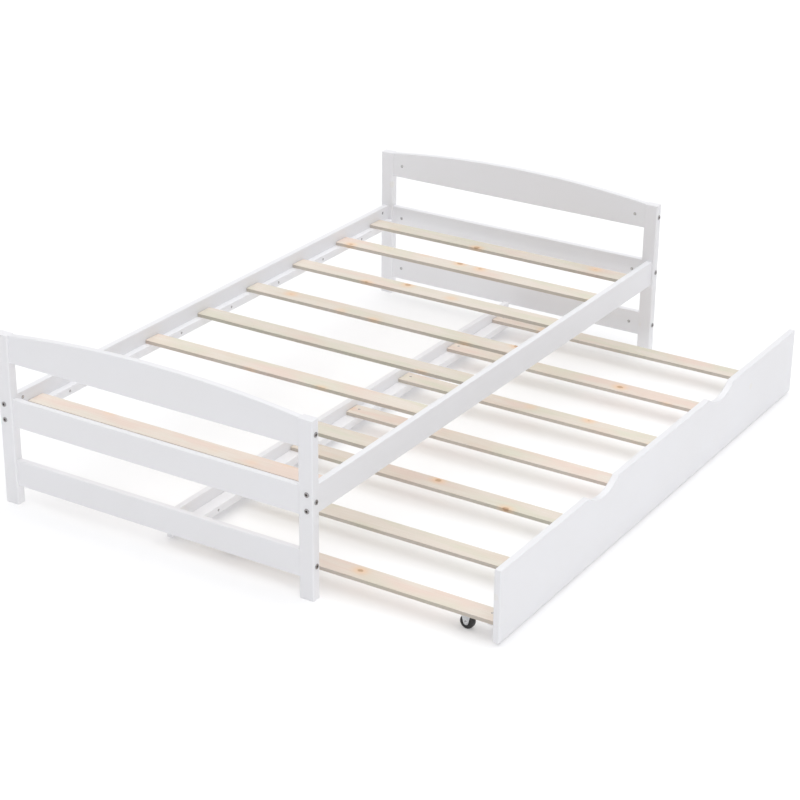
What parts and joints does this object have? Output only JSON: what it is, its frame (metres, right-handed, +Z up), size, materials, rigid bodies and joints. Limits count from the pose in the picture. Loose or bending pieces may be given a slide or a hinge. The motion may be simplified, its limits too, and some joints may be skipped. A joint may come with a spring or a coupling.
{
  "type": "trundle bed",
  "caption": "Low wooden bed with arched end panels and a slatted deck, over a slatted trundle that rolls out sideways on casters for a second mattress.",
  "frame": {"origin": "centre of the bounding box's base on the floor, with the trundle rolled out as at rest", "axes": "+X across the bed, the way the trundle rolls out; +Y along the bed towards the head panel; +Z up"},
  "size_m": [1.5736, 2.005, 0.547],
  "materials": {
    "white_paint": "white satin paint over solid pine",
    "pine": "bare planed pine",
    "bolt_steel": "dark plated steel",
    "caster_zinc": "bright zinc-plated pressed steel",
    "caster_wheel": "black moulded plastic"
  },
  "bodies": {
    "bed_frame": {"foot_post_left": "white_paint", "foot_post_right": "white_paint", "foot_top_board": "white_paint", "foot_middle_rail": "white_paint", "foot_lower_rail": "white_paint", "head_post_left": "white_paint", "head_post_right": "white_paint", "head_top_board": "white_paint", "head_middle_rail": "white_paint", "head_lower_rail": "white_paint", "side_rail_left": "white_paint", "side_rail_right": "white_paint", "ledger_left": "white_paint", "ledger_right": "white_paint", "bolt_foot_left_lower": "bolt_steel", "bolt_foot_left_upper": "bolt_steel", "bolt_head_left_lower": "bolt_steel", "bolt_head_left_upper": "bolt_steel", "bolt_foot_right_lower": "bolt_steel", "bolt_foot_right_upper": "bolt_steel", "bolt_head_right_lower": "bolt_steel", "bolt_head_right_upper": "bolt_steel", "slat_1": "pine", "slat_2": "pine", "slat_3": "pine", "slat_4": "pine", "slat_5": "pine", "slat_6": "pine", "slat_7": "pine", "slat_8": "pine"},
    "trundle": {"trundle_front_board": "white_paint", "trundle_rear_rail": "white_paint", "trundle_ledger_front": "white_paint", "trundle_ledger_rear": "white_paint", "trundle_slat_1": "pine", "trundle_slat_2": "pine", "trundle_slat_3": "pine", "trundle_slat_4": "pine", "trundle_slat_5": "pine", "trundle_slat_6": "pine", "trundle_slat_7": "pine", "caster_front_foot_fork": "caster_zinc", "caster_front_foot_axle": "caster_zinc", "caster_front_head_fork": "caster_zinc", "caster_front_head_axle": "caster_zinc", "caster_rear_foot_fork": "caster_zinc", "caster_rear_foot_axle": "caster_zinc", "caster_rear_head_fork": "caster_zinc", "caster_rear_head_axle": "caster_zinc"},
    "wheel_front_foot": {"caster_front_foot_wheel": "caster_wheel"},
    "wheel_front_head": {"caster_front_head_wheel": "caster_wheel"},
    "wheel_rear_foot": {"caster_rear_foot_wheel": "caster_wheel"},
    "wheel_rear_head": {"caster_rear_head_wheel": "caster_wheel"}
  },
  "joints": [
    {"name": "trundle_slide", "type": "slide", "parent": "bed_frame", "child": "trundle", "axis": [1, 0, 0], "range_m": [-0.517, 0.56]},
    {"name": "wheel_front_foot_roll", "type": "hinge", "parent": "trundle", "child": "wheel_front_foot", "pos_m": [0.67175, -0.892, 0.02], "axis": [0, 1, 0], "continuous": true},
    {"name": "wheel_front_head_roll", "type": "hinge", "parent": "trundle", "child": "wheel_front_head", "pos_m": [0.67175, 0.848, 0.02], "axis": [0, 1, 0], "continuous": true},
    {"name": "wheel_rear_foot_roll", "type": "hinge", "parent": "trundle", "child": "wheel_rear_foot", "pos_m": [-0.06325, -0.892, 0.02], "axis": [0, 1, 0], "continuous": true},
    {"name": "wheel_rear_head_roll", "type": "hinge", "parent": "trundle", "child": "wheel_rear_head", "pos_m": [-0.06325, 0.848, 0.02], "axis": [0, 1, 0], "continuous": true}
  ],
  "couplings": [
    {"joint": "wheel_front_foot_roll", "follows": "trundle_slide", "rad_per_m": 50},
    {"joint": "wheel_front_head_roll", "follows": "trundle_slide", "rad_per_m": 50},
    {"joint": "wheel_rear_foot_roll", "follows": "trundle_slide", "rad_per_m": 50},
    {"joint": "wheel_rear_head_roll", "follows": "trundle_slide", "rad_per_m": 50}
  ]
}
